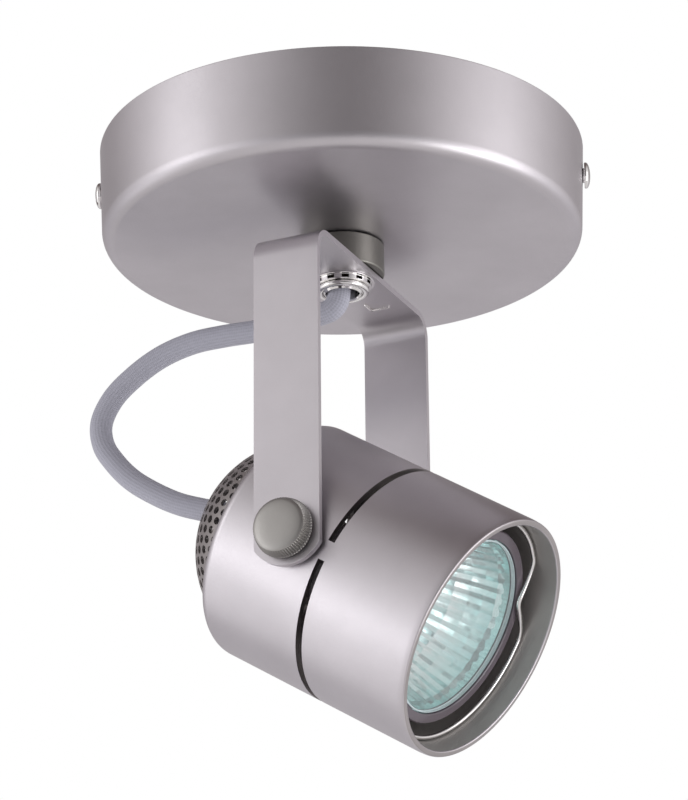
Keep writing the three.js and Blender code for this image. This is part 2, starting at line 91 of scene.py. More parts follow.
def boxed(low, high, bevel=0.0, segments=2):
    mesh = bmesh.new()
    bmesh.ops.create_cube(mesh, size=1)
    size = [b - a for a, b in zip(low, high)]
    bmesh.ops.scale(mesh, vec=size, verts=mesh.verts)
    bmesh.ops.translate(mesh, vec=[(a + b) / 2 for a, b in zip(low, high)], verts=mesh.verts)
    if bevel:
        bmesh.ops.bevel(mesh, geom=mesh.edges, offset=bevel, affect="EDGES", segments=segments,
                        profile=0.5, material=-1)
    return mesh


def pillar(radius, low, high, steps=48, bevel=0.0):
    mesh = bmesh.new()
    bmesh.ops.create_cone(mesh, cap_ends=True, segments=steps, radius1=radius, radius2=radius,
                          depth=high - low)
    bmesh.ops.translate(mesh, vec=(0, 0, (low + high) / 2), verts=mesh.verts)
    if bevel:
        rims = [e for e in mesh.edges if abs(e.verts[0].co.z - e.verts[1].co.z) < 1e-6]
        bmesh.ops.bevel(mesh, geom=rims, offset=bevel, affect="EDGES", segments=2, profile=0.5,
                        material=-1)
    return mesh


def placed(mesh, matrix):
    mesh.transform(matrix)
    return mesh


def merged(*meshes):
    whole = meshes[0]
    for extra in meshes[1:]:
        spare = bpy.data.meshes.new("spare")
        extra.to_mesh(spare)
        whole.from_mesh(spare)
        bpy.data.meshes.remove(spare)
        extra.free()
    return whole


def asObject(mesh, name):
    data = bpy.data.meshes.new(name)
    mesh.to_mesh(data)
    mesh.free()
    obj = bpy.data.objects.new(name, data)
    scene.collection.objects.link(obj)
    return obj


def carved(mesh, cutters):
    body = asObject(mesh, "carving")
    tools = [asObject(cutter, "cutter") for cutter in cutters]
    for tool in tools:
        cutting = body.modifiers.new("cut", "BOOLEAN")
        cutting.object = tool
        cutting.solver = "EXACT"
    evaluated = body.evaluated_get(bpy.context.evaluated_depsgraph_get())
    result = bmesh.new()
    result.from_mesh(evaluated.to_mesh())
    for spare in [body, *tools]:
        bpy.data.objects.remove(spare)
    return result


def finished(mesh, name, matrix, material, body, stands=(), crease=32, extra=()):
    mesh.transform(Matrix.Scale(mm, 4))
    mesh.transform(matrix)
    obj = asObject(mesh, name)
    for one in [material, *extra]:
        obj.data.materials.append(one)
    obj.data.shade_smooth()
    if crease < 180:
        obj.data.set_sharp_from_angle(angle=math.radians(crease))
        evening = obj.modifiers.new("evenNormals", "WEIGHTED_NORMAL")
        evening.keep_sharp = True
    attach(obj, body)
    if stands:
        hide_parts(*stands)
    return obj


# materials
def startMaterial(name, **values):
    material = bpy.data.materials.new(name)
    material.use_nodes = True
    tree = material.node_tree
    shader = tree.nodes["Principled BSDF"]
    for key, value in values.items():
        shader.inputs[key].default_value = value
    return material, tree, shader


def addNode(tree, kind, **settings):
    node = tree.nodes.new(kind)
    for key, value in settings.items():
        if key in node.inputs:
            node.inputs[key].default_value = value
        else:
            setattr(node, key, value)
    return node


def objectPoint(tree, turn=(0, 0, 0), shift=(0, 0, 0), size=(1, 1, 1)):
    source = addNode(tree, "ShaderNodeTexCoord")
    mapping = addNode(tree, "ShaderNodeMapping", Location=shift, Rotation=turn, Scale=size)
    tree.links.new(source.outputs["Object"], mapping.inputs["Vector"])
    return mapping.outputs["Vector"]


def headPoint(tree, size=(1, 1, 1)):
    back = headTurn.transposed()
    shift = -(back @ pivot)
    first = objectPoint(tree, back.to_euler(), shift)
    if tuple(size) == (1, 1, 1):
        return first
    stretch = addNode(tree, "ShaderNodeVectorMath", operation="MULTIPLY")
    stretch.inputs[1].default_value = size
    tree.links.new(first, stretch.inputs[0])
    return stretch.outputs["Vector"]


def noisy(tree, point, scale, detail=3, roughness=0.55):
    grain = addNode(tree, "ShaderNodeTexNoise", Scale=scale, Detail=detail, Roughness=roughness)
    tree.links.new(point, grain.inputs["Vector"])
    return grain.outputs["Fac"]


def ramped(tree, value, stops):
    ramp = addNode(tree, "ShaderNodeValToRGB")
    while len(ramp.color_ramp.elements) < len(stops):
        ramp.color_ramp.elements.new(0.5)
    for element, (at, color) in zip(ramp.color_ramp.elements, stops):
        element.position = at
        element.color = (*color, 1) if len(color) == 3 else color
    tree.links.new(value, ramp.inputs["Fac"])
    return ramp.outputs["Color"]


def ranged(tree, value, low, high):
    spread = addNode(tree, "ShaderNodeMapRange")
    spread.inputs["From Min"].default_value = 0.25
    spread.inputs["From Max"].default_value = 0.75
    spread.inputs["To Min"].default_value = low
    spread.inputs["To Max"].default_value = high
    tree.links.new(value, spread.inputs["Value"])
    return spread.outputs["Result"]


def bumped(tree, shader, height, strength, distance):
    bump = addNode(tree, "ShaderNodeBump", Strength=strength, Distance=distance)
    tree.links.new(height, bump.inputs["Height"])
    tree.links.new(bump.outputs["Normal"], shader.inputs["Normal"])


def shaded(color, amount):
    return tuple(max(0.0, min(1.0, c * amount)) for c in color)


def platedMetal(name, color, rough, grain=0.25, blotch=0.05, stretch=(1, 1, 1), metallic=1.0):
    material, tree, shader = startMaterial(name, Metallic=metallic)
    point = objectPoint(tree, size=stretch)
    cloud = noisy(tree, point, 38, 4)
    fine = noisy(tree, point, 2600, 2)
    tree.links.new(ramped(tree, cloud, [(0.3, shaded(color, 1 - blotch)), (0.7, shaded(color, 1 + blotch))]),
                   shader.inputs["Base Color"])
    tree.links.new(ranged(tree, fine, rough - 0.05, rough + 0.05), shader.inputs["Roughness"])
    bumped(tree, shader, fine, grain, 0.00006)
    return material


satin = platedMetal("satinNickel", (0.595, 0.57, 0.595), 0.4)
satinHead = platedMetal("satinNickelBarrel", (0.595, 0.57, 0.595), 0.38)
turnedNickel = platedMetal("turnedDarkNickel", (0.235, 0.23, 0.21), 0.4, 0.3, 0.08)
knobNickel = platedMetal("knobNickel", (0.37, 0.36, 0.345), 0.4, 0.3, 0.08)
# darker, less metallic finish for the barrel's inner wall: painted shade inside the mouth
canInsideShade = platedMetal("barrelInsideShade", (0.5, 0.48, 0.465), 0.48, 0.3, 0.08, metallic=0.7)
# near-black finish for the tooth washer's window walls: painted shade in its recesses
paintedShadeGap = platedMetal("washerGapShade", (0.035, 0.028, 0.02), 0.5, 0.2, 0.2)
# lighter, glossier finish for the pressed L mark: a painted highlight on the same plated metal
paintedHighlightMark = platedMetal("pressedMarkHighlight", (0.9, 0.88, 0.86), 0.25, 0.2, 0.05)
meshSteel = platedMetal("perforatedSteel", (0.42, 0.395, 0.39), 0.38, 0.3, 0.1)
chrome = platedMetal("brightChrome", (0.86, 0.85, 0.84), 0.1, 0.05, 0.02)
zinc = platedMetal("zincPlate", (0.6, 0.61, 0.63), 0.36, 0.35, 0.12)
greenZinc = platedMetal("greenScrew", (0.06, 0.3, 0.12), 0.35, 0.3, 0.1, metallic=0.6)


def mattPlain(name, color, rough, scale=900, depth=0.00008, blotch=0.08):
    material, tree, shader = startMaterial(name)
    point = objectPoint(tree)
    fine = noisy(tree, point, scale, 4, 0.65)
    cloud = noisy(tree, point, 60, 3)
    tree.links.new(ramped(tree, cloud, [(0.3, shaded(color, 1 - blotch)), (0.7, shaded(color, 1 + blotch))]),
                   shader.inputs["Base Color"])
    tree.links.new(ranged(tree, fine, rough - 0.08, rough + 0.08), shader.inputs["Roughness"])
    bumped(tree, shader, fine, 0.4, depth)
    return material


ceramic = mattPlain("socketCeramic", (0.82, 0.8, 0.75), 0.62)
fibre = mattPlain("washerFibre", (0.05, 0.05, 0.05), 0.7)
silicone = mattPlain("wireSilicone", (0.75, 0.73, 0.68), 0.55)


def wovenSleeve():
    spec = {"color": (0.5, 0.505, 0.585), "dark": (0.4, 0.405, 0.465), "rough": 0.82, "strands": 22,
            "pitch": 5.4}
    material, tree, shader = startMaterial("wovenSleeve", Roughness=spec["rough"])
    shader.inputs["Sheen Weight"].default_value = 0.25
    shader.inputs["Sheen Roughness"].default_value = 0.4
    uv = addNode(tree, "ShaderNodeUVMap", uv_map="sleeve")
    parts = addNode(tree, "ShaderNodeSeparateXYZ")
    tree.links.new(uv.outputs["UV"], parts.inputs["Vector"])
    waves = []
    for sign in (1, -1):
        lean = addNode(tree, "ShaderNodeMath", operation="MULTIPLY")
        lean.inputs[1].default_value = sign * spec["strands"] / spec["pitch"] * math.tau * 1000 / 4
        tree.links.new(parts.outputs["X"], lean.inputs[0])
        turn = addNode(tree, "ShaderNodeMath", operation="MULTIPLY_ADD")
        turn.inputs[1].default_value = math.tau * spec["strands"] / 2
        tree.links.new(parts.outputs["Y"], turn.inputs[0])
        tree.links.new(lean.outputs[0], turn.inputs[2])
        wave = addNode(tree, "ShaderNodeMath", operation="SINE")
        tree.links.new(turn.outputs[0], wave.inputs[0])
        waves.append(wave.outputs[0])
    weave = addNode(tree, "ShaderNodeMath", operation="MULTIPLY")
    tree.links.new(waves[0], weave.inputs[0])
    tree.links.new(waves[1], weave.inputs[1])
    lifted = addNode(tree, "ShaderNodeMath", operation="MULTIPLY_ADD")
    lifted.inputs[1].default_value = 0.5
    lifted.inputs[2].default_value = 0.5
    tree.links.new(weave.outputs[0], lifted.inputs[0])
    fuzz = noisy(tree, objectPoint(tree), 1500, 4, 0.7)
    blend = addNode(tree, "ShaderNodeMath", operation="MULTIPLY_ADD")
    blend.inputs[1].default_value = 0.55
    tree.links.new(fuzz, blend.inputs[0])
    tree.links.new(lifted.outputs[0], blend.inputs[2])
    tree.links.new(ramped(tree, blend.outputs[0], [(0.25, spec["dark"]), (0.95, spec["color"])]),
                   shader.inputs["Base Color"])
    bumped(tree, shader, blend.outputs[0], 0.6, 0.00012)
    return material


sleeveCloth = wovenSleeve()


def mirrorGlass():
    spec = {"inner": (0.98, 0.97, 0.975), "middle": (0.95, 0.965, 0.965), "rim": (0.62, 0.87, 0.86),
            "rough": 0.08, "reach": 0.0225}
    material, tree, shader = startMaterial("dichroicMirror", Metallic=1.0)
    parts = addNode(tree, "ShaderNodeSeparateXYZ")
    tree.links.new(headPoint(tree), parts.inputs["Vector"])
    flat = addNode(tree, "ShaderNodeCombineXYZ")
    tree.links.new(parts.outputs["X"], flat.inputs["X"])
    tree.links.new(parts.outputs["Y"], flat.inputs["Y"])
    reach = addNode(tree, "ShaderNodeVectorMath", operation="LENGTH")
    tree.links.new(flat.outputs["Vector"], reach.inputs[0])
    share = addNode(tree, "ShaderNodeMath", operation="MULTIPLY")
    share.inputs[1].default_value = 1 / spec["reach"]
    tree.links.new(reach.outputs["Value"], share.inputs[0])
    tint = ramped(tree, share.outputs[0], [(0.5, spec["inner"]), (0.8, spec["middle"]), (0.97, spec["rim"])])
    tree.links.new(tint, shader.inputs["Base Color"])
    haze = noisy(tree, objectPoint(tree), 700, 3)
    tree.links.new(ranged(tree, haze, spec["rough"] - 0.04, spec["rough"] + 0.06), shader.inputs["Roughness"])
    bumped(tree, shader, haze, 0.15, 0.00005)
    return material


def clearGlass(name, tint, alpha, rough=0.03):
    material, tree, shader = startMaterial(name, Alpha=alpha, IOR=1.47)
    haze = noisy(tree, objectPoint(tree), 160, 3)
    tree.links.new(ramped(tree, haze, [(0.3, shaded(tint, 0.97)), (0.7, tint)]), shader.inputs["Base Color"])
    tree.links.new(ranged(tree, haze, rough, rough + 0.03), shader.inputs["Roughness"])
    return material


mirror = mirrorGlass()
# dark glass of the lamp rim; on the bowl's outside the same near-black is painted shade seen through the vent
# slots
rimGlassAndSlotShade = mattPlain("lampRimGlassAndSlotShade", (0.12, 0.1, 0.118), 0.14, 300, 0.00002)
edgeGlass = mattPlain("coverEdge", (0.62, 0.74, 0.76), 0.16, 300, 0.00002)
coverClear = clearGlass("coverGlass", (0.85, 0.95, 0.95), 0.1)
quartz = clearGlass("capsuleQuartz", (0.95, 0.97, 0.97), 0.3)
tungsten = platedMetal("tungsten", (0.35, 0.34, 0.33), 0.4, 0.2, 0.1)
print("materials done")

# camera and light
cameraSpec = {"place": (0.36062, -0.78271, -0.40793), "heading": 114.736, "rise": 21.597, "roll": -0.569,
              "lens": 168.6}
cameraData = bpy.data.cameras.new("camera")
cameraData.sensor_width = 36
cameraData.lens = cameraSpec["lens"]
cameraData.clip_start = 0.01
cameraData.clip_end = 20
camera = bpy.data.objects.new("camera", cameraData)
scene.collection.objects.link(camera)
heading, rise = math.radians(cameraSpec["heading"]), math.radians(cameraSpec["rise"])
looking = Vector((math.cos(heading) * math.cos(rise), math.sin(heading) * math.cos(rise), math.sin(rise)))
level = looking.cross(Vector((0, 0, 1))).normalized()
upright = level.cross(looking)
roll = math.radians(cameraSpec["roll"])
rightWay = level * math.cos(roll) + upright * math.sin(roll)
upWay = rightWay.cross(looking)
camera.matrix_world = (Matrix.Translation(cameraSpec["place"])
                       @ Matrix((rightWay, upWay, -looking)).transposed().to_4x4())
scene.camera = camera

studio = {
    "key": {"swing": -74, "rise": -6, "far": 1.1, "size": (0.5, 1.1), "power": 2.6, "color": (1, 0.99, 1)},
    "fill": {"swing": 74, "rise": 4, "far": 1.2, "size": (0.45, 1.0), "power": 1.8, "color": (0.99, 0.99, 1)},
    "low": {"swing": 100, "rise": -27, "far": 0.75, "size": (0.62, 0.36), "power": 0.3, "color": (1, 1, 1)},
    "mouth": {"swing": -64, "rise": -28, "far": 0.75, "size": (0.42, 0.36), "power": 0.9, "color": (1, 1, 1)},
}
aimPoint = Vector((0, 0, -0.08))


def studioWay(swing, tall):
    around, tall = heading + math.pi - math.radians(swing), math.radians(tall)
    return Vector((math.cos(around) * math.cos(tall), math.sin(around) * math.cos(tall), math.sin(tall)))


for lampName, spec in studio.items():
    way = studioWay(spec["swing"], spec["rise"])
    data = bpy.data.lights.new(lampName, "AREA")
    data.shape = "RECTANGLE"
    data.size, data.size_y = spec["size"]
    data.energy = spec["power"]
    data.color = spec["color"]
    light = bpy.data.objects.new(lampName, data)
    light.location = aimPoint + way * spec["far"]
    light.rotation_euler = way.to_track_quat("Z", "Y").to_euler()
    scene.collection.objects.link(light)

# soft surroundings for the metal to reflect: pale sides and back, a dim front, a darker ceiling;
# each glow is (swing, rise, where it starts, where it is full, amount)
skySpec = {
    "heights": [(0.0, (0.53, 0.51, 0.53)), (0.42, (0.465, 0.445, 0.465)), (0.62, (0.37, 0.345, 0.35)),
                (0.95, (0.14, 0.11, 0.108))],
    "right": (-74, 0, 0.3, 0.97, 0.55), "left": (64, 6, 0.3, 0.97, 0.56),
    "back": (180, -20, 0.35, 0.97, 0.13), "front": (0, 0, 0.55, 0.98, 0.56),
}
world = bpy.data.worlds.new("studio")
world.use_nodes = True
scene.world = world
tree = world.node_tree
tree.nodes.clear()
direction = addNode(tree, "ShaderNodeTexCoord").outputs["Generated"]
parts = addNode(tree, "ShaderNodeSeparateXYZ")
tree.links.new(direction, parts.inputs["Vector"])
tallness = addNode(tree, "ShaderNodeMath", operation="MULTIPLY_ADD")
tallness.inputs[1].default_value = 0.5
tallness.inputs[2].default_value = 0.5
tree.links.new(parts.outputs["Z"], tallness.inputs[0])
glow = ramped(tree, tallness.outputs[0], skySpec["heights"])


def softLobe(swing, tall, start, end, low, high):
    facing = addNode(tree, "ShaderNodeVectorMath", operation="DOT_PRODUCT")
    facing.inputs[1].default_value = studioWay(swing, tall)
    tree.links.new(direction, facing.inputs[0])
    spread = addNode(tree, "ShaderNodeMapRange", interpolation_type="SMOOTHSTEP")
    for key, value in {"From Min": start, "From Max": end, "To Min": low, "To Max": high}.items():
        spread.inputs[key].default_value = value
    tree.links.new(facing.outputs["Value"], spread.inputs["Value"])
    return spread.outputs["Result"]


whole = glow
for lobeName in ("right", "left", "back"):
    swing, tall, start, end, amount = skySpec[lobeName]
    adding = addNode(tree, "ShaderNodeVectorMath", operation="ADD")
    tree.links.new(whole, adding.inputs[0])
    tree.links.new(softLobe(swing, tall, start, end, 0, amount), adding.inputs[1])
    whole = adding.outputs["Vector"]
swing, tall, start, end, amount = skySpec["front"]
frontDim = softLobe(swing, tall, start, end, 1, 1 - amount)
dimmed = addNode(tree, "ShaderNodeVectorMath", operation="SCALE")
tree.links.new(whole, dimmed.inputs[0])
tree.links.new(frontDim, dimmed.inputs["Scale"])
soft = addNode(tree, "ShaderNodeBackground")
tree.links.new(dimmed.outputs["Vector"], soft.inputs["Color"])
white = addNode(tree, "ShaderNodeBackground")
white.inputs["Color"].default_value = (1, 1, 1, 1)
seen = addNode(tree, "ShaderNodeLightPath")
either = addNode(tree, "ShaderNodeMixShader")
tree.links.new(seen.outputs["Is Camera Ray"], either.inputs["Fac"])
tree.links.new(soft.outputs["Background"], either.inputs[1])
tree.links.new(white.outputs["Background"], either.inputs[2])
output = addNode(tree, "ShaderNodeOutputWorld")
tree.links.new(either.outputs["Shader"], output.inputs["Surface"])
scene.view_settings.view_transform = "Standard"

floorMaterial, _, floorShader = startMaterial("paleFloor", Roughness=0.9)
# far below, as under a ceiling
floorSpec = {"half": 2400, "top": -1600, "thick": 10, "color": (0.85, 0.85, 0.85, 1), "glow": 0.42}
floorShader.inputs["Base Color"].default_value = floorSpec["color"]
floorShader.inputs["Emission Color"].default_value = floorSpec["color"]
floorShader.inputs["Emission Strength"].default_value = floorSpec["glow"]
floorMesh = boxed((-floorSpec["half"], -floorSpec["half"], floorSpec["top"] - floorSpec["thick"]),
                  (floorSpec["half"], floorSpec["half"], floorSpec["top"]))
floorMesh.transform(Matrix.Scale(mm, 4))
floor = asObject(floorMesh, "floor")
floor.data.materials.append(floorMaterial)
print("camera and light done")

# sleeved lead, on the same route as its solid
leadSpec = {"radius": 2.9, "around": 72, "step": 0.25, "relief": 0.035, "strands": 22, "pitch": 5.4}
leadRoute = [
    (-1.05, -30), (-1.05, -34.5), (-1.1, -38.3), (-1.66, -40.4), (-3.2, -41.94), (-5.3, -42.5), (-8.2, -42.8),
    (-12, -43.3), (-16, -43.8), (-20.5, -44), (-25, -43.9), (-33.5, -43.6), (-42.2, -43.9), (-50.9, -46),
    (-58.6, -50), (-64.9, -55.2), (-68.1, -61.4), (-67.4, -67.4), (-64, -72.8), (-59.1, -78.1),
    (-52.8, -82.7), (-45.8, -86.7), (-38.9, -89.4), (-33.2, -91.25), (-29.2, -93.4), (-26.6, -94.9),
]


def smoothRoute(points, spacing):
    fine = []
    ends = [points[0] * 2 - points[1], *points, points[-1] * 2 - points[-2]]
    for a, b, c, d in zip(ends, ends[1:], ends[2:], ends[3:]):
        knots = [0.0]
        for p, q in ((a, b), (b, c), (c, d)):
            knots.append(knots[-1] + max((q - p).length, 1e-6) ** 0.5)
        count = max(2, round((c - b).length / spacing))
        for i in range(count):
            t = knots[1] + (knots[2] - knots[1]) * i / count
            one = [a + (b - a) * ((t - knots[0]) / (knots[1] - knots[0])),
                   b + (c - b) * ((t - knots[1]) / (knots[2] - knots[1])),
                   c + (d - c) * ((t - knots[2]) / (knots[3] - knots[2]))]
            two = [one[0] + (one[1] - one[0]) * ((t - knots[0]) / (knots[2] - knots[0])),
                   one[1] + (one[2] - one[1]) * ((t - knots[1]) / (knots[3] - knots[1]))]
            fine.append(two[0] + (two[1] - two[0]) * ((t - knots[1]) / (knots[2] - knots[1])))
    return [*fine, points[-1]]


def sweptTube(line, radius, around, uvName=None, relief=None, side=Vector((0, 1, 0))):
    mesh = bmesh.new()
    rows, run, length = [], 0.0, []
    for i, spot in enumerate(line):
        ahead = (line[min(i + 1, len(line) - 1)] - line[max(i - 1, 0)]).normalized()
        side = (side - ahead * side.dot(ahead)).normalized()
        over = ahead.cross(side)
        if i:
            run += (spot - line[i - 1]).length
        length.append(run)
        row = []
        for k in range(around):
            angle = math.tau * k / around
            out = radius + (relief(angle, run) if relief else 0)
            row.append(mesh.verts.new(spot + (side * math.cos(angle) + over * math.sin(angle)) * out))
        rows.append(row)
    layer = mesh.loops.layers.uv.new(uvName) if uvName else None
    for i, (low, high) in enumerate(zip(rows, rows[1:])):
        for k in range(around):
            n = (k + 1) % around
            face = mesh.faces.new((low[k], low[n], high[n], high[k]))
            if layer:
                for loop, (at, turn) in zip(face.loops, ((i, k), (i, k + 1), (i + 1, k + 1), (i + 1, k))):
                    loop[layer].uv = (length[at] * mm, turn / around)
    mesh.faces.new(list(reversed(rows[0])))
    mesh.faces.new(rows[-1])
    bmesh.ops.recalc_face_normals(mesh, faces=mesh.faces)
    return mesh


leadLine = smoothRoute([Vector((x, 0, z)) for x, z in leadRoute], leadSpec["step"])


def plait(angle, run):
    lean = leadSpec["strands"] / leadSpec["pitch"] * math.tau / 4 * run
    turn = angle * leadSpec["strands"] / 2
    return leadSpec["relief"] * math.sin(turn + lean) * math.sin(turn - lean)


leadMesh = sweptTube(leadLine, leadSpec["radius"] - leadSpec["relief"], leadSpec["around"], "sleeve", plait)
leadMesh.transform(Matrix.Scale(mm, 4))
lead = asObject(leadMesh, "sleevedLead")
lead.data.materials.append(sleeveCloth)
lead.data.shade_smooth()
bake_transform(lead)
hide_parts("lamp_lead")

# canopy and its fixings
canopySpec = {"radius": 61.2, "low": 60.4, "height": 25.3, "corner": 3.5, "wall": 1.2, "hole": 5.3,
              "screwDrop": 8.5, "screwHole": 2.4}
c = canopySpec
canopyProfile = [
    (c["hole"], -c["height"]),
    *arcRow((c["low"] - c["corner"], -c["height"] + c["corner"]), c["corner"], -90, 0, 14),
    (c["radius"], -0.35), (c["radius"] - 0.12, -0.08), (c["radius"] - 0.35, 0),
    (c["radius"] - c["wall"] + 0.2, 0), (c["radius"] - c["wall"], -0.2),
    *arcRow((c["low"] - c["corner"], -c["height"] + c["corner"]), c["corner"] - c["wall"], 0, -90, 10),
    (c["hole"], -c["height"] + c["wall"]),
]
sideways = Matrix.Rotation(math.radians(90), 4, "Y")
canopyHoles = [placed(pillar(c["screwHole"], side * 59 - 4, side * 59 + 4, 40),
                      Matrix.Translation((0, 0, -c["screwDrop"])) @ sideways) for side in (1, -1)]
canopyMesh = carved(turned(canopyProfile, 240, loop=True), canopyHoles)
finished(canopyMesh, "canopyShell", canopyPlace, satin, "canopy_mount", ["canopy"], 30)


def roundScrew(head, height, shank, length, slot):
    profile = [(0, -length), (shank - 0.5, -length), (shank, -length + 0.6)]
    turns = int((length - 1.2) / 0.35)
    for i in range(turns):
        z = -length + 0.7 + i * 0.35
        profile += [(shank, z), (shank - 0.18, z + 0.17)]
    profile += [(shank, -0.2), (shank, 0), (head - 0.15, 0), (head, 0.15), (head, height * 0.28)]
    profile += [(head * math.cos(math.radians(a)), height * (0.28 + 0.72 * math.sin(math.radians(a))))
                for a in range(12, 90, 12)]
    profile.append((0, height))
    slotCut = boxed((-head - 1, -slot / 2, height * 0.42), (head + 1, slot / 2, height + 1))
    return carved(turned(profile, 40), [slotCut])


screwSpec = {"head": 3.3, "height": 1.5, "shank": 1.9, "length": 9, "slot": 0.9, "turn": 28}
s = screwSpec
for name, side in (("canopy_screw_right", 1), ("canopy_screw_left", -1)):
    slotTurn = Matrix.Rotation(math.radians(s["turn"]), 4, "Z")
    facing = Matrix.Rotation(math.radians(90 * side), 4, "Y") @ slotTurn
    place = canopyPlace @ Matrix.Translation(Vector((side * (c["radius"] + 0.1), 0, -c["screwDrop"])) * mm)
    screw = roundScrew(s["head"], s["height"], s["shank"], s["length"], s["slot"])
    finished(screw, name.replace("canopy_screw_", "sideScrew"), place @ facing, chrome, "canopy_mount",
             [name])

barSpec = {"half": 58.4, "width": 17, "thick": 1.6, "tab": 15, "bend": 2.8, "slot": (29, 47), "slotHalf": 2.4,
           "centreHole": 7.5, "earth": 18, "earthHole": 2.3, "tabHole": 2.2}
b = barSpec


def bentStrip(halfRun, width, thick, bevel, bend, along=260, wide=6, endRound=0.0):
    corner = endRound and endRound - math.sqrt(endRound ** 2 - (width / 2) ** 2)
    mesh = bmesh.new()
    bmesh.ops.create_grid(mesh, x_segments=along, y_segments=wide, size=1)
    straight = halfRun - corner
    for v in mesh.verts:
        u, w = v.co.x * halfRun, v.co.y * width / 2
        if corner and abs(u) > straight:
            left = corner * (1 - math.sin((abs(u) - straight) / corner * math.pi / 2))
            u = math.copysign(halfRun - left, u)
            w *= math.sqrt(endRound ** 2 - (endRound - left) ** 2) / (width / 2)
        v.co = (u, w, 0)
    bmesh.ops.remove_doubles(mesh, verts=mesh.verts, dist=1e-4)
    bmesh.ops.dissolve_degenerate(mesh, edges=mesh.edges, dist=1e-5)
    top = bmesh.ops.extrude_face_region(mesh, geom=mesh.faces[:])["geom"]
    bmesh.ops.translate(mesh, vec=(0, 0, thick), verts=[g for g in top if isinstance(g, bmesh.types.BMVert)])
    bmesh.ops.recalc_face_normals(mesh, faces=mesh.faces)
    sharp = [e for e in mesh.edges if len(e.link_faces) == 2 and e.calc_face_angle(0) > math.radians(60)]
    bmesh.ops.bevel(mesh, geom=sharp, offset=bevel, affect="EDGES", segments=2, profile=0.5, material=-1,
                    clamp_overlap=True)
    for v in mesh.verts:
        v.co = bend(v.co.x, v.co.y, v.co.z)
    bmesh.ops.recalc_face_normals(mesh, faces=mesh.faces)
    return mesh


def uBend(flatHalf, outer, thick, top):
    def bend(u, w, h):
        way = 1 if u >= 0 else -1
        run, middle = abs(u), outer - thick / 2
        arcRun = middle * math.pi / 2
        if run <= flatHalf:
            out, tall = run, top - thick + h
        elif run <= flatHalf + arcRun:
            angle = (run - flatHalf) / middle
            reach = outer - thick + h
            out = flatHalf + reach * math.sin(angle)
            tall = top - outer + reach * math.cos(angle)
        else:
            out = flatHalf + outer - thick + h
            tall = top - outer - (run - flatHalf - arcRun)
        return (way * out, w, tall)
    return bend


barRun = b["half"] - b["bend"] + (b["bend"] - b["thick"] / 2) * math.pi / 2 + b["tab"] - b["bend"]
barMesh = bentStrip(barRun, b["width"], b["thick"], 0.25,
                    uBend(b["half"] - b["bend"], b["bend"], b["thick"], 0), 200, 4)
barCuts = [pillar(b["centreHole"], -4, 2, 64),
           placed(pillar(b["earthHole"], -4, 2, 32), Matrix.Translation((b["earth"], 0, 0)))]
for side in (1, -1):
    low, high = sorted((side * b["slot"][0], side * b["slot"][1]))
    barCuts.append(boxed((low, -b["slotHalf"], -4), (high, b["slotHalf"], 2)))
    barCuts += [placed(pillar(b["slotHalf"], -4, 2, 32), Matrix.Translation((x, 0, 0))) for x in (low, high)]
    barCuts.append(placed(pillar(b["tabHole"], side * 55 - 4, side * 55 + 4, 32),
                          Matrix.Translation((0, 0, -c["screwDrop"])) @ sideways))
finished(carved(barMesh, barCuts), "fixingBar", canopyPlace, zinc, "canopy_mount", ["mounting_bar"])
earthPlace = canopyPlace @ Matrix.Translation(Vector((b["earth"], 0, -b["thick"] - 0.3)) * mm)
finished(roundScrew(3.6, 2, 2, 1.8, 0.9), "earthScrew", earthPlace @ Matrix.Rotation(math.pi, 4, "X"),
         greenZinc, "canopy_mount", ["ground_screw"])
print("canopy done")

# swivel stack: hollow nipple, locknut, stub, tooth washer and round nut
stackSpec = {"nippleOut": 5, "nippleBore": 4.1, "nippleTop": -17.5, "nippleEnd": -38.5, "pitch": 0.9,
             "stub": 10.5, "plateTop": -33.8, "strap": 1.5, "teeth": 12, "clearance": 5.3}
k = stackSpec
nippleProfile = [(k["nippleBore"] + 0.25, k["nippleEnd"]), (k["nippleOut"] - 0.5, k["nippleEnd"])]
z = k["nippleEnd"] + 0.5
while z < k["nippleTop"] - 0.9:
    nippleProfile += [(k["nippleOut"], z), (k["nippleOut"] - 0.4, z + k["pitch"] / 2)]
    z += k["pitch"]
nippleProfile += [(k["nippleOut"] - 0.5, k["nippleTop"]), (k["nippleBore"] + 0.25, k["nippleTop"]),
                  (k["nippleBore"], k["nippleTop"] - 0.3), (k["nippleBore"], k["nippleEnd"] + 0.3)]
finished(turned(nippleProfile, 72, loop=True), "hollowNipple", still, chrome, "canopy_mount",
         ["threaded_nipple"], 25)
stubTop, stubLow = -c["height"] - 0.3, k["plateTop"] + 0.3
finished(turned([
    (5.4, stubLow), (k["stub"] - 0.5, stubLow), *arcRow((k["stub"] - 0.5, stubLow + 0.5), 0.5, -90, 0, 4),
    *arcRow((k["stub"] - 0.3, stubTop - 0.3), 0.3, 0, 90, 3), (5.4, stubTop),
], 128, loop=True), "swivelStub", still, turnedNickel, "canopy_mount", ["swivel_stub"])

plateUnder = k["plateTop"] - k["strap"] - 0.02


def toothWasher(inner, crown, flange, top, height, teeth):
    low = top - height
    mesh = turned([(inner, low), (crown - 0.1, low), (crown, low + 0.1), (crown + 0.12, top - 0.42),
                   (flange - 0.1, top - 0.4), (flange, top - 0.3), (flange, top - 0.1), (flange - 0.1, top),
                   (inner, top)], teeth * 12, loop=True)
    windows = []
    for i in range(teeth):
        window = boxed((inner + 0.5, -0.92, low + 0.28), (crown + 2, 0.92, top - 0.5), 0.12)
        windows.append(placed(window, Matrix.Rotation(math.tau * i / teeth, 4, "Z")))
    mesh = carved(mesh, [merged(*windows)])
    # the window walls between the teeth take the near-black painted shade
    for f in mesh.faces:
        middle = f.calc_center_median()
        if inner + 0.2 < middle.xy.length < crown - 0.25 and low + 0.1 < middle.z < top - 0.1:
            f.material_index = 1
    return mesh


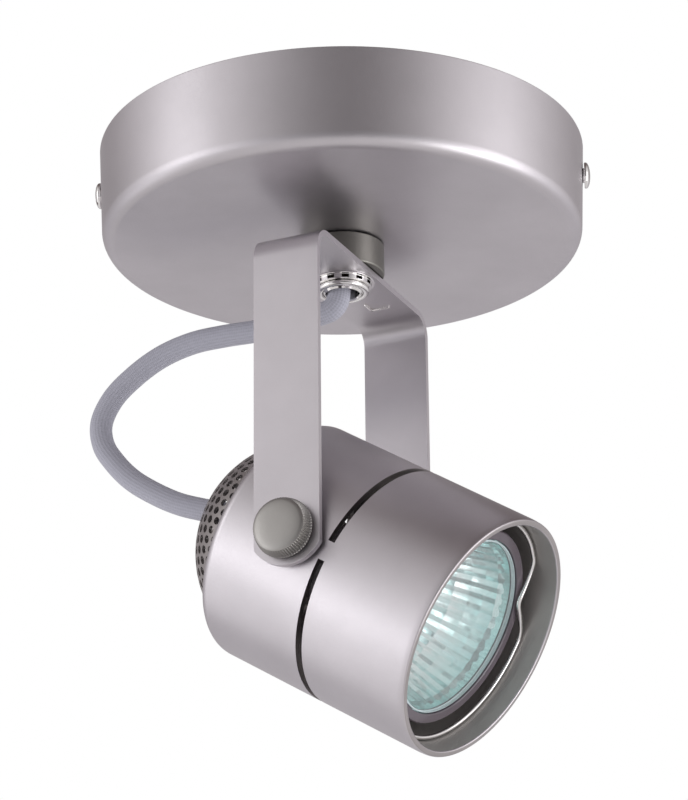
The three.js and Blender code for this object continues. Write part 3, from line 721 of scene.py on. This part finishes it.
finished(toothWasher(k["clearance"], 7.15, 8, plateUnder, 1.6, k["teeth"]), "toothWasher", still, chrome,
         "canopy_mount", ["tooth_lock_washer"], 30, [paintedShadeGap])
nutTop, nutLow = plateUnder - 1.63, plateUnder - 2.95
finished(turned([
    (5.15, nutLow + 0.15), (5.3, nutLow), *arcRow((5.95, nutLow + 0.7), 0.7, -90, 0, 7),
    *arcRow((6.1, nutTop - 0.55), 0.55, 0, 90, 5), (5.3, nutTop), (5.15, nutTop - 0.15),
], 96, loop=True), "roundNut", still, chrome, "canopy_mount", ["ring_nut"], 50)

floorTop = -c["height"] + c["wall"]
hexMesh = bmesh.new()
bmesh.ops.create_cone(hexMesh, cap_ends=True, segments=6, radius1=8.1, radius2=8.1, depth=3)
bmesh.ops.translate(hexMesh, vec=(0, 0, floorTop + 2.9), verts=hexMesh.verts)
bmesh.ops.bevel(hexMesh, geom=hexMesh.edges, offset=0.35, affect="EDGES", segments=2, profile=0.5,
                material=-1)
finished(carved(hexMesh, [pillar(k["clearance"], -30, -10, 64)]), "insideNut", still, zinc, "canopy_mount",
         ["inner_locknut"], 25)
washerLow, washerTop = floorTop + 0.3, floorTop + 1.1
insideRing = turned([(5.4, washerLow), (8.3, washerLow), (8.4, washerLow + 0.1), (8.4, washerTop - 0.1),
                     (8.3, washerTop), (5.4, washerTop)], 144, loop=True)
notches = [placed(boxed((7.3, -0.6, washerLow - 1), (9, 0.6, washerTop + 1)),
                  Matrix.Rotation(math.tau * i / k["teeth"], 4, "Z")) for i in range(k["teeth"])]
finished(carved(insideRing, [merged(*notches)]), "insideWasher", still, zinc, "canopy_mount",
         ["inner_lock_washer"], 30)
print("swivel done")

# stirrup: one strap bent to a U with round ends
strapSpec = {"width": 17.2, "thick": 1.5, "armOut": 33.1, "bend": 6, "top": -33.8, "pivot": pivot.z / mm,
             "edge": 0.22, "endRound": 10.1, "plateHole": 5.35, "studHole": 2.4}
t = strapSpec
flatHalf = t["armOut"] - t["bend"]
armRun = t["top"] - t["bend"] - t["pivot"] + t["width"] / 2
strapRun = flatHalf + (t["bend"] - t["thick"] / 2) * math.pi / 2 + armRun
strapMesh = bentStrip(strapRun, t["width"], t["thick"], t["edge"],
                      uBend(flatHalf, t["bend"], t["thick"], t["top"]), 340, 8, t["endRound"])
strapMesh.transform(Matrix.Rotation(math.radians(90), 4, "Z"))
pivotHole = placed(pillar(t["studHole"], -40, 40, 48), Matrix.Translation((0, 0, t["pivot"])) @ nearSide)
strapMesh = carved(strapMesh, [pillar(t["plateHole"], -40, -30, 72), pivotHole])
plateLow = t["top"] - t["thick"]
# the pressed L mark under the plate takes the painted highlight finish
marks = merged(boxed((-0.9, 14.6, plateLow - 0.5), (-0.1, 19, plateLow + 0.2), 0.2),
               boxed((-0.9, 18.2, plateLow - 0.5), (4.4, 19, plateLow + 0.2), 0.2))
for f in marks.faces:
    f.material_index = 1
finished(merged(strapMesh, marks), "stirrup", still, satin, "stirrup", ["yoke"], 30,
         [paintedHighlightMark])
print("stirrup done")

# barrel: a drawn can with two half-round vent slots
barrelSpec = {"radius": 30.7, "bore": 29, "front": 42.5, "back": -20.8, "shoulder": 2.7, "lip": 27.2,
              "ventAt": 10.8, "ventWidth": 1.9, "bridge": 4.6, "studHole": 2.4}
r = barrelSpec
barrelProfile = [
    (r["lip"], r["back"] + 0.2), (r["lip"] + 0.2, r["back"]),
    *arcRow((r["radius"] - r["shoulder"], r["back"] + r["shoulder"]), r["shoulder"], -90, 0, 8),
    (r["radius"], r["ventAt"] - 4), (r["radius"], r["ventAt"] + 4), (r["radius"], r["front"] - 8),
    (r["radius"], r["front"] - 2), (r["radius"] - 0.07, r["front"] - 1.1),
    *arcRow((r["radius"] - 0.62, r["front"] - 0.5), 0.5, 10, 90, 5),
    *arcRow((r["bore"] + 0.4, r["front"] - 0.4), 0.4, 90, 180, 4),
    (r["bore"], r["front"] - 8), (r["bore"], r["ventAt"] + 4), (r["bore"], r["ventAt"] - 4),
    *arcRow((r["bore"] - 0.6, r["back"] + 2.1), 0.6, 0, -90, 3), (r["lip"], r["back"] + 1.5),
]


def ventCutter(middle):
    reach = 90 - r["bridge"]
    low, high = r["ventAt"] - r["ventWidth"] / 2, r["ventAt"] + r["ventWidth"] / 2
    mesh = bmesh.new()
    row = [mesh.verts.new((x, 0, z)) for x, z in ((26, low), (34, low), (34, high), (26, high))]
    start = mesh.faces.new(row)
    bmesh.ops.spin(mesh, geom=[start], cent=(0, 0, 0), axis=(0, 0, 1), dvec=(0, 0, 0),
                   angle=math.radians(2 * reach), steps=60, use_merge=False, use_duplicate=False)
    mesh.transform(Matrix.Rotation(math.radians(middle - reach), 4, "Z"))
    bmesh.ops.recalc_face_normals(mesh, faces=mesh.faces)
    if mesh.calc_volume(signed=True) < 0:
        bmesh.ops.reverse_faces(mesh, faces=mesh.faces)
    return mesh


sidePins = placed(pillar(r["studHole"], -34, 34, 48), Matrix.Rotation(math.radians(90), 4, "Y"))
barrelMesh = carved(turned(barrelProfile, 200, loop=True), [ventCutter(90), ventCutter(-90), sidePins])
# inner wall faces take the painted shade finish; faces looking straight back take the perforated steel
for f in barrelMesh.faces:
    middle = f.calc_center_median()
    if middle.xy.length < r["bore"] + 0.3 and middle.z < r["front"] - 0.5:
        f.material_index = 1
    elif f.normal.z > 0.9:
        f.material_index = 2
finished(barrelMesh, "barrelCan", headPlace, satinHead, "head", ["barrel"], 32,
         [canInsideShade, meshSteel])
print("barrel done")

# domed back cover of perforated sheet
domeSpec = {"radius": 28, "centre": -11.3, "sheet": 0.8, "pitch": 3.2, "hole": 2.2, "seat": -19.0,
            "flange": 28.3, "leadHole": 3.6}
d = domeSpec


def perforatedDome():
    cell = bmesh.new()
    side = d["pitch"] / math.sqrt(3)
    bmesh.ops.create_circle(cell, cap_ends=True, cap_tris=False, segments=6, radius=side)
    bmesh.ops.subdivide_edges(cell, edges=cell.edges[:], cuts=1)
    middle = cell.faces[:]
    bmesh.ops.inset_region(cell, faces=middle, thickness=0.2, use_boundary=True, use_even_offset=True)
    hole = middle[0]
    for v in hole.verts:
        v.co = v.co.normalized() * d["hole"] / 2
    bmesh.ops.delete(cell, geom=[hole], context="FACES_ONLY")
    sheet = bmesh.new()
    spare = bpy.data.meshes.new("spare")
    cell.to_mesh(spare)
    reach = d["radius"] * 1.32
    rows = int(reach / (d["pitch"] * math.sqrt(3) / 2)) + 1
    for i in range(-rows, rows + 1):
        for j in range(-rows - 2, rows + 3):
            x = (j + 0.5 * (i % 2)) * d["pitch"]
            y = i * d["pitch"] * math.sqrt(3) / 2
            if math.hypot(x, y) > reach or math.hypot(x, y) < d["leadHole"] + 0.6:
                continue
            first = len(sheet.verts)
            sheet.from_mesh(spare)
            sheet.verts.ensure_lookup_table()
            bmesh.ops.translate(sheet, vec=(x, y, 0), verts=sheet.verts[first:])
    cell.free()
    bpy.data.meshes.remove(spare)
    bmesh.ops.remove_doubles(sheet, verts=sheet.verts, dist=0.02)
    for v in sheet.verts:
        flat = v.co.xy.length
        share = min(1.0, flat / (2 * d["radius"]))
        angle = 2 * math.asin(share)
        out = d["radius"] * math.sin(angle)
        v.co = Vector((v.co.x / flat * out, v.co.y / flat * out, d["centre"] - d["radius"] * math.cos(angle)))
    bmesh.ops.bisect_plane(sheet, geom=sheet.verts[:] + sheet.edges[:] + sheet.faces[:], dist=1e-5,
                           plane_co=(0, 0, d["seat"]), plane_no=(0, 0, 1),
                           clear_outer=True, clear_inner=False)
    bmesh.ops.recalc_face_normals(sheet, faces=sheet.faces)
    outward = sum(f.normal.dot(f.calc_center_median() - Vector((0, 0, d["centre"]))) for f in sheet.faces)
    if outward < 0:
        bmesh.ops.reverse_faces(sheet, faces=sheet.faces)
    skin = sheet.faces[:]
    inside = bmesh.ops.extrude_face_region(sheet, geom=skin, use_keep_orig=True)["geom"]
    centre = Vector((0, 0, d["centre"]))
    for v in (g for g in inside if isinstance(g, bmesh.types.BMVert)):
        v.co = centre + (v.co - centre) * (1 - d["sheet"] / d["radius"])
    bmesh.ops.recalc_face_normals(sheet, faces=sheet.faces)
    return sheet


domeMesh = perforatedDome()
flangeIn = math.sqrt(d["radius"] ** 2 - (d["centre"] - d["seat"]) ** 2)
flange = turned([(flangeIn - 0.9, d["seat"] + 0.02), (d["flange"], d["seat"] + 0.02),
                 (d["flange"], d["seat"] + 0.78), (flangeIn - 0.9, d["seat"] + 0.78)], 120, loop=True)
poleZ = d["centre"] - d["radius"]
eyelet = turned([(d["leadHole"] - 0.1, poleZ + 1.1), (d["leadHole"] - 0.1, poleZ + 0.1),
                 *arcRow((d["leadHole"] + 0.35, poleZ + 0.1), 0.45, 180, 300, 5),
                 (d["leadHole"] + 1.9, poleZ + 0.28), (d["leadHole"] + 2, poleZ + 0.42),
                 (d["leadHole"] + 1.9, poleZ + 1.1)], 64, loop=True)
finished(merged(domeMesh, flange, eyelet), "perforatedBack", headPlace, meshSteel, "head", ["rear_grille"],
         40)
print("back cover done")

# thumb knobs with a fine straight knurl and a soft domed cap
knobSpec = {"radius": 7.4, "thick": 4.5, "base": 33.9, "teeth": 66, "depth": 0.42, "cap": 6.75}
n = knobSpec


def knobMesh():
    top, wide, cap = n["base"] + n["thick"], n["radius"], n["cap"]
    profile = [
        (2.3, n["base"] + 2.4), (2.3, n["base"] + 0.2), (2.5, n["base"]), (wide - 0.6, n["base"]),
        (wide - 0.15, n["base"] + 0.25), (wide, n["base"] + 0.6), (wide, n["base"] + 1),
        (wide - 0.1, n["base"] + 1.6), (cap + 0.15, top - 1.35), (cap, top - 1.05),
        (cap - 0.2, top - 0.75), (cap - 0.55, top - 0.5), (cap - 1.1, top - 0.33),
        (cap - 2.4, top - 0.14), (cap - 4.2, top - 0.03), (0, top), (0, n["base"] + 2.4),
    ]
    mesh = turned(profile, n["teeth"] * 6)
    for v in mesh.verts:
        out = v.co.xy.length
        if out > 5.5 and n["base"] + 0.5 < v.co.z < top - 1:
            wave = 0.5 - 0.5 * math.cos(math.atan2(v.co.y, v.co.x) * n["teeth"])
            v.co.xy *= (out - n["depth"] * wave) / out
    return mesh


fixingSpec = {"stud": 2, "root": 1.72, "start": 25, "pitch": 0.7, "turns": 10, "hole": 2.4}
x = fixingSpec
for side, facing in (("near", nearSide), ("far", farSide)):
    place, body = Matrix.Translation(pivot) @ facing, "knob_" + side + "_body"
    finished(knobMesh(), side + "Knob", place, knobNickel, body, ["knob_" + side], 28)
    studProfile = [(0, x["start"] - 0.4), (x["stud"] - 0.4, x["start"] - 0.4), (x["stud"], x["start"])]
    studProfile += [(reach, x["start"] + x["pitch"] * i + rise) for i in range(x["turns"])
                    for reach, rise in ((x["stud"], 0.2), (x["root"], 0.55))]
    studProfile += [(x["stud"], 32.2), (x["stud"], n["base"] + 2), (0, n["base"] + 2)]
    stud = turned(studProfile, 40)
    finished(stud, side + "Stud", place, zinc, body, ["knob_stud_" + side], 25)
    washer = turned([(x["hole"], 33.3), (4.45, 33.3), (4.6, 33.4), (4.6, 33.6), (4.45, 33.7),
                     (x["hole"], 33.7)], 64, loop=True)
    finished(washer, side + "Washer", place, zinc, body, ["knob_washer_" + side], 25)
    spacer = turned([(x["hole"], 30.95), (5.8, 30.95), (6, 31.05), (6, 31.2), (5.8, 31.3), (x["hole"], 31.3)],
                    64, loop=True)
    finished(spacer, side + "Spacer", place, fibre, "head", ["spacer_washer_" + side], 25)
print("knobs done")

# reflector lamp
lampSpec = {"face": 35.2, "radius": 25, "columns": 44, "jitter": 0.07, "pleat": 0.14, "seed": 7}
a = lampSpec
bowlOut = [(10.4, -4.5), (10.6, -1), (12.4, 3), (15.4, 9), (18.3, 15.5), (20.8, 22), (22.6, 28), (23.2, 31.2),
           (a["radius"] - 0.3, 32.3), (a["radius"], 32.6), (a["radius"], a["face"] - 0.3),
           (a["radius"] - 0.3, a["face"])]
bowlIn = [(22.8, a["face"]), (22.55, a["face"] - 0.15), (22.5, a["face"] - 1.75), (21.9, a["face"] - 1.8)]
mirrorRows = [(21.3, 30.4), (20.5, 27.2), (19.5, 23.8), (18.2, 20), (16.6, 16.4), (14.8, 12.9), (12.6, 9.4),
              (10.2, 6.2), (7.4, 3.6), (6.4, 2.8)]
bowl = turned([*bowlOut, *bowlIn, *mirrorRows, (6.4, -4.5)], a["columns"] * 3, loop=True)
facets = turned([(22.3, a["face"] - 1.9), *[(x - 0.3, z + 0.25) for x, z in mirrorRows]], a["columns"] * 2)
random.seed(a["seed"])
for v in facets.verts:
    out = v.co.xy.length
    if 7 < out < 21.5:
        column = round(math.atan2(v.co.y, v.co.x) / math.tau * a["columns"] * 2)
        pleat = (a["pleat"] if column % 2 else -a["pleat"]) * out / 21
        v.co.xy *= 1 + (pleat + random.uniform(-a["jitter"], a["jitter"])) / out
        v.co.z += random.uniform(-a["jitter"], a["jitter"]) * 2
for f in facets.faces:
    if f.normal.xy.dot(f.calc_center_median().xy) > 0:
        f.normal_flip()
# rim band faces take the dark rim glass; outward faces of the bowl take it as painted shade behind the vent slots
for f in bowl.faces:
    middle = f.calc_center_median().xy
    if middle.length > 22.4 or f.normal.xy.dot(middle) > 0.1:
        f.material_index = 1
finished(bowl, "lampBowl", headPlace, mirror, "lamp", ["lamp_reflector"], 30, [rimGlassAndSlotShade])
bmesh.ops.solidify(facets, geom=facets.faces[:], thickness=0.12)
finished(facets, "lampFacets", headPlace, mirror, "lamp", (), 0.5)
cover = turned([(0, a["face"] - 1.4), (22, a["face"] - 1.4), (22.3, a["face"] - 1.2), (22.3, a["face"] - 0.5),
                (21.95, a["face"] - 0.3), (0, a["face"] - 0.3)], 96)
for f in cover.faces:
    if f.calc_center_median().xy.length > 21.9:
        f.material_index = 1
finished(cover, "coverGlass", headPlace, coverClear, "lamp", ["lamp_cover_glass"], 30,
         [edgeGlass])
capsule = turned([(0, -3), (3.2, -3), (3.6, -2.4), (4.2, 0), (4.5, 4), (4.6, 9), (4.5, 14), (4.1, 16.2),
                  (3.2, 17.7), (1.9, 18.6), (1.0, 19.0), (0.5, 19.4), (0, 19.5)], 48)
finished(capsule, "capsule", headPlace, quartz, "lamp", ["lamp_capsule"], 60)
coilSpec = {"radius": 0.55, "turns": 9, "steps": 140, "low": 6, "height": 7, "wire": 0.13, "post": 0.2}
f = coilSpec
coil = []
for i in range(f["steps"] + 1):
    angle = i / f["steps"] * math.tau * f["turns"]
    coil.append(Vector((f["radius"] * math.cos(angle), f["radius"] * math.sin(angle),
                        f["low"] + f["height"] * i / f["steps"])))
shortPost = [Vector(p) for p in ((0.55, 0, 6), (1.6, 0, 4.6), (1.7, 0, 2), (1.7, 0, -2.6))]
longPost = [Vector(p) for p in ((0.55, 0, 13), (0.2, 0.1, 15), (-1.6, 0, 15.4), (-1.9, 0, 13),
                                (-1.8, 0, -2.6))]
supports = merged(
    sweptTube(coil, f["wire"], 8, side=Vector((0, 0, 1))),
    sweptTube(shortPost, f["post"], 8),
    sweptTube(longPost, f["post"], 8),
)
finished(supports, "filament", headPlace, tungsten, "lamp", (), 60)
print("lamp done")

# sprung wire ring with two inward kinks
wireSpec = {"radius": 0.55, "ring": 28.1, "at": 36.1, "kink": 22.8, "kinkHalf": 20.5, "kinks": (35, 215),
            "gap": 145}
w = wireSpec
wireTurns = []
for turn in range(w["gap"] + 5, w["gap"] + 356, 10):
    if min(abs((turn - q + 540) % 360 - 180) for q in w["kinks"]) > w["kinkHalf"] + 2:
        wireTurns.append((turn, w["ring"]))
for q in w["kinks"]:
    centre = q + 360 if q < w["gap"] else q
    halfWay = (w["ring"] + w["kink"]) / 2 - 0.5
    for shift, reach in ((w["kinkHalf"] + 2, w["ring"]), (w["kinkHalf"] - 1.5, w["ring"] - 0.6),
                         (w["kinkHalf"] / 2, halfWay), (1.6, w["kink"] + 0.15)):
        wireTurns += [(centre + shift, reach), (centre - shift, reach)]
wireLine = [Vector((reach * math.cos(math.radians(turn)), reach * math.sin(math.radians(turn)), w["at"]))
            for turn, reach in sorted(wireTurns)]
wireMesh = sweptTube(smoothRoute(wireLine, 0.7), w["radius"], 16, side=Vector((0, 0, 1)))
finished(wireMesh, "clipWire", headPlace, chrome, "clip", ["retaining_wire"], 60)
print("wire done")

# pieces whose solids keep their shape and take a finish
keptFinish = {
    "socket_bracket": zinc, "lamp_socket": ceramic, "socket_screw_1": zinc, "socket_screw_2": zinc,
    "socket_wire_1": silicone, "socket_wire_2": silicone, "lamp_base": ceramic,
    "lamp_pin_1": zinc, "lamp_pin_2": zinc,
}
for nodeName, material in keptFinish.items():
    node = frame["nodes"][nodeName]
    node.data.materials.clear()
    node.data.materials.append(material)
